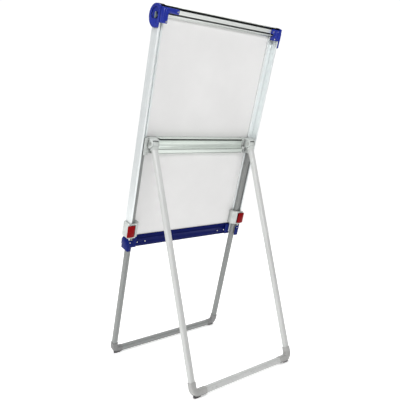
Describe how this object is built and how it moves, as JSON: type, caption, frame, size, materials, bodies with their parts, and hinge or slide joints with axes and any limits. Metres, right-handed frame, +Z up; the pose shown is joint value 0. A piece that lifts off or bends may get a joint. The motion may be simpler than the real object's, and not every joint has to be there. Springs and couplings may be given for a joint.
{
  "type": "flipchart easel",
  "caption": "Free-standing easel with a leaning panel, telescoping front legs, a folding rear frame, a hinged clamp bar for paper and a pen tray.",
  "frame": {"origin": "on the floor, under the middle of the object's bounding box", "axes": "+Z up, -Y towards the writer, +X to the right of a writer who faces the board"},
  "size_m": [0.75, 0.6656, 1.6685],
  "materials": {
    "board_face": "glossy white dry-wipe face",
    "board_core": "pressed board seen only at its edges",
    "board_back": "smooth light grey backing sheet",
    "rail_metal": "satin anodised",
    "crossbar_metal": "satin anodised, greenish grey",
    "tube_metal": "smooth light grey powder coat",
    "blue_plastic": "moulded, half gloss",
    "tray_plastic": "moulded, half gloss",
    "pale_plastic": "moulded",
    "foot_plastic": "moulded, fine grain",
    "dark_plastic": "moulded",
    "knob_plastic": "moulded",
    "foot_rubber": "matt",
    "red_plastic": "moulded, half gloss",
    "zinc": "zinc plated"
  },
  "bodies": {
    "board": {"writing_sheet": "board_face", "board_core": "board_core", "back_sheet": "board_back", "left_side_rail": "rail_metal", "right_side_rail": "rail_metal", "top_rail": "rail_metal", "crossbar": "crossbar_metal", "left_corner_bracket": "blue_plastic", "right_corner_bracket": "blue_plastic", "pen_tray": "tray_plastic", "left_tray_end": "blue_plastic", "right_tray_end": "blue_plastic", "left_hinge_bracket": "pale_plastic", "right_hinge_bracket": "pale_plastic", "hinge_bolts": "zinc", "left_clamp_body": "pale_plastic", "right_clamp_body": "pale_plastic", "clamp_shoes": "dark_plastic", "lever_pins": "zinc", "pivot_knobs": "knob_plastic", "corner_screws": "zinc", "hinge_screws": "zinc", "tray_screws": "zinc"},
    "front_legs": {"left_front_tube": "tube_metal", "right_front_tube": "tube_metal", "front_foot_bar": "tube_metal", "left_front_elbow": "foot_plastic", "right_front_elbow": "foot_plastic", "front_glides": "foot_rubber", "front_tube_plugs": "dark_plastic"},
    "rear_legs": {"left_rear_tube": "tube_metal", "right_rear_tube": "tube_metal", "rear_foot_bar": "tube_metal", "left_rear_elbow": "foot_plastic", "right_rear_elbow": "foot_plastic", "rear_glides": "foot_rubber", "left_leg_socket": "pale_plastic", "right_leg_socket": "pale_plastic"},
    "clamp_bar": {"clamp_bar": "rail_metal", "clamp_bar_cover": "rail_metal", "grip_strip": "foot_rubber", "left_end_disc": "blue_plastic", "right_end_disc": "blue_plastic", "clamp_bar_plugs": "dark_plastic"},
    "left_lever": {"left_clamp_lever": "red_plastic"},
    "right_lever": {"right_clamp_lever": "red_plastic"},
    "left_peg": {"left_pad_peg": "dark_plastic"},
    "right_peg": {"right_pad_peg": "dark_plastic"}
  },
  "joints": [
    {"name": "rear_fold", "type": "hinge", "parent": "board", "child": "rear_legs", "pos_m": [0, 0.03013, 1.09076], "axis": [-1, 0, 0], "range_deg": [0, 31.2]},
    {"name": "leg_slide", "type": "slide", "parent": "board", "child": "front_legs", "axis": [0, 0.2782, 0.9605], "range_m": [-0.3, 0.45]},
    {"name": "clamp_bar_lift", "type": "hinge", "parent": "board", "child": "clamp_bar", "pos_m": [0, 0.14548, 1.6185], "axis": [-1, 0, 0], "range_deg": [0, 40]},
    {"name": "right_lever_turn", "type": "hinge", "parent": "board", "child": "right_lever", "pos_m": [0.343, -0.10252, 0.67943], "axis": [0, 0.2782, 0.9605], "range_deg": [0, 90]},
    {"name": "left_lever_turn", "type": "hinge", "parent": "board", "child": "left_lever", "pos_m": [-0.343, -0.10252, 0.67943], "axis": [0, -0.2782, -0.9605], "range_deg": [0, 90]},
    {"name": "right_peg_slide", "type": "slide", "parent": "board", "child": "right_peg", "axis": [1, 0, 0], "range_m": [-0.09, 0.09]},
    {"name": "left_peg_slide", "type": "slide", "parent": "board", "child": "left_peg", "axis": [1, 0, 0], "range_m": [-0.09, 0.09]}
  ]
}
